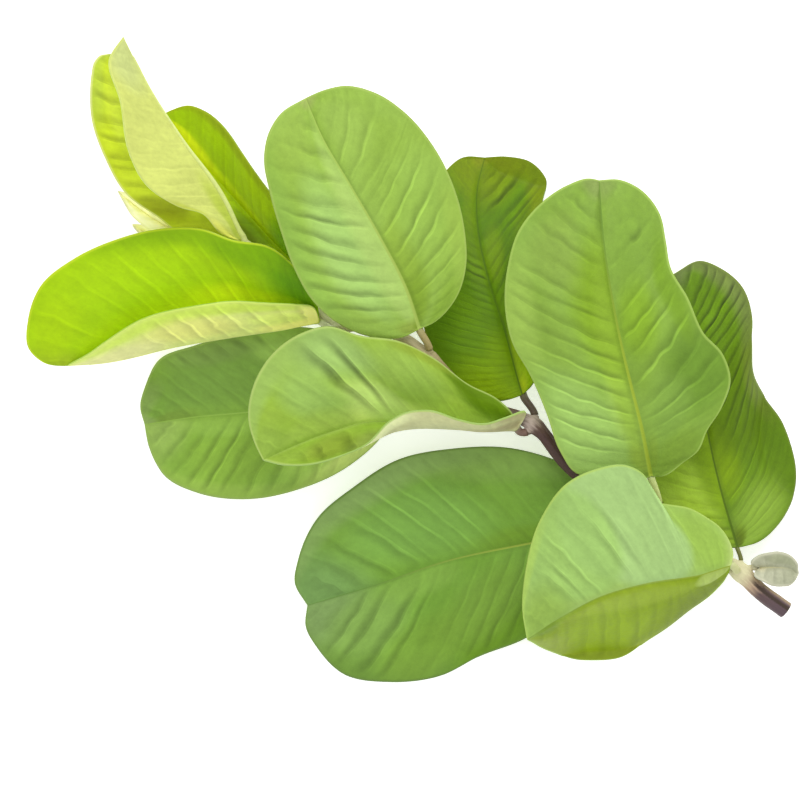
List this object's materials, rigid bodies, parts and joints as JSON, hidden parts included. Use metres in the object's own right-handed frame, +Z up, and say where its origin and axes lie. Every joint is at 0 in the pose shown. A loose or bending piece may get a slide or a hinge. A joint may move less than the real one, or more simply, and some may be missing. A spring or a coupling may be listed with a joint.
{
  "type": "leafy guava twig",
  "caption": "Cut leafy guava twig with broad oval leaves in opposite pairs and a young folded tip, lying on a surface.",
  "frame": {"origin": "on the surface that the twig lies on, under the middle of its box", "axes": "+X towards the cut end's side, +Y towards the far leaves, +Z up from the surface"},
  "size_m": [0.2471, 0.2064, 0.0606],
  "materials": {
    "bark": "matte",
    "dark_leaf": "satin",
    "green_leaf": "satin",
    "young_leaf": "satin",
    "bud_leaf": "satin",
    "grey_leaf": "satin"
  },
  "bodies": {
    "root": {"twig": "bark", "right_back_leaf": "dark_leaf", "front_leaf": "green_leaf", "grey_leaf": "grey_leaf", "right_leaf": "green_leaf", "lower_leaf": "dark_leaf", "upper_back_leaf": "dark_leaf", "centre_leaf": "green_leaf", "upper_leaf": "green_leaf", "left_leaf": "dark_leaf", "lime_leaf": "young_leaf", "lime_back_leaf": "young_leaf", "tip_leaf": "young_leaf", "bud_leaf_long": "bud_leaf", "bud_leaf_short": "bud_leaf"}
  },
  "joints": []
}
